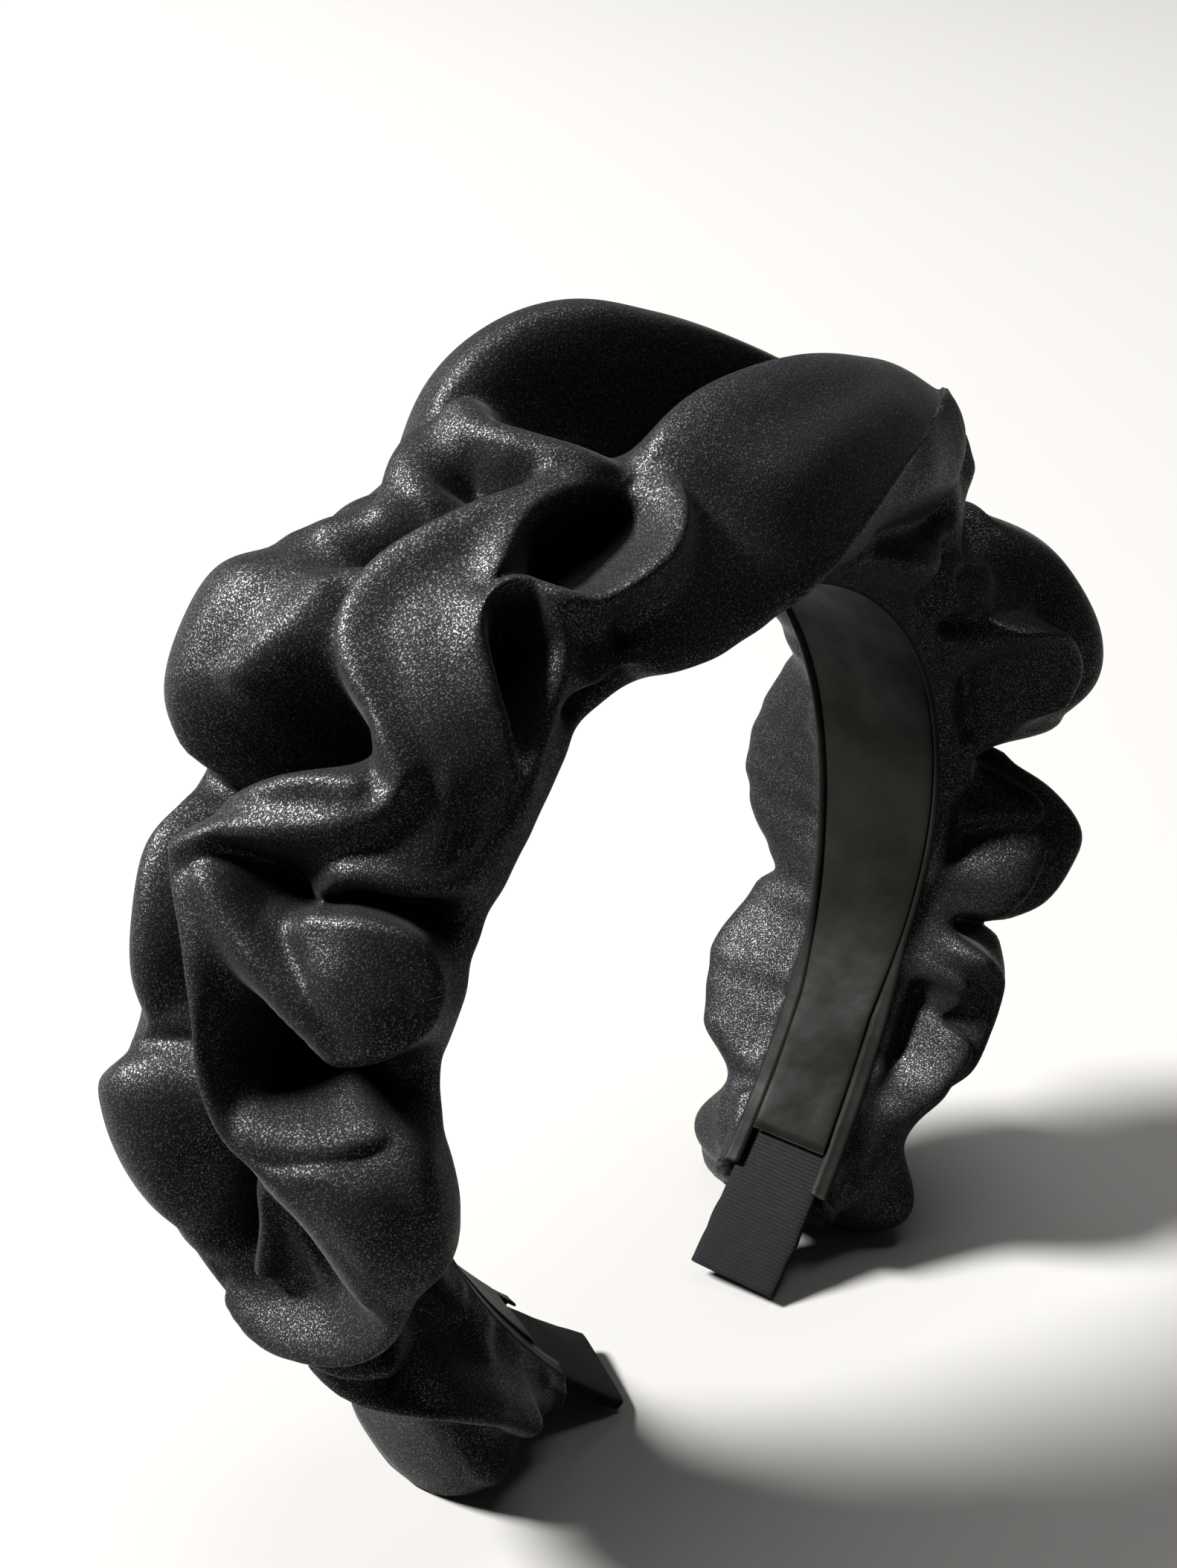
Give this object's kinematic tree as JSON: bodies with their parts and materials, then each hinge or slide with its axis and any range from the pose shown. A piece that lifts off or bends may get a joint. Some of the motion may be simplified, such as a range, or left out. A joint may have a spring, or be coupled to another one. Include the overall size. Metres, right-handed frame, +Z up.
{
  "type": "ruched headband",
  "caption": "Wide padded headband with a ruched black satin cover, a smooth satin lining and ribbon-wrapped tips.",
  "frame": {"origin": "under the middle of the whole headband, on the surface that it stands on", "axes": "+X from ear to ear, towards the arm that is farther from the camera; +Y towards the back of the head; +Z up to the crown"},
  "size_m": [0.1774, 0.0656, 0.1738],
  "materials": {
    "spring_plastic": "plain black plastic, hidden in the cloth",
    "lining_satin": "smooth black satin, drawn flat",
    "grosgrain": "matte black ribbed ribbon",
    "gathered_satin": "black satin with a soft grainy sheen, gathered in deep folds"
  },
  "bodies": {
    "root": {"hoop_band": "spring_plastic", "inner_lining": "lining_satin", "near_ribbon_sleeve": "grosgrain", "far_ribbon_sleeve": "grosgrain", "ruched_cover": "gathered_satin"}
  },
  "joints": []
}
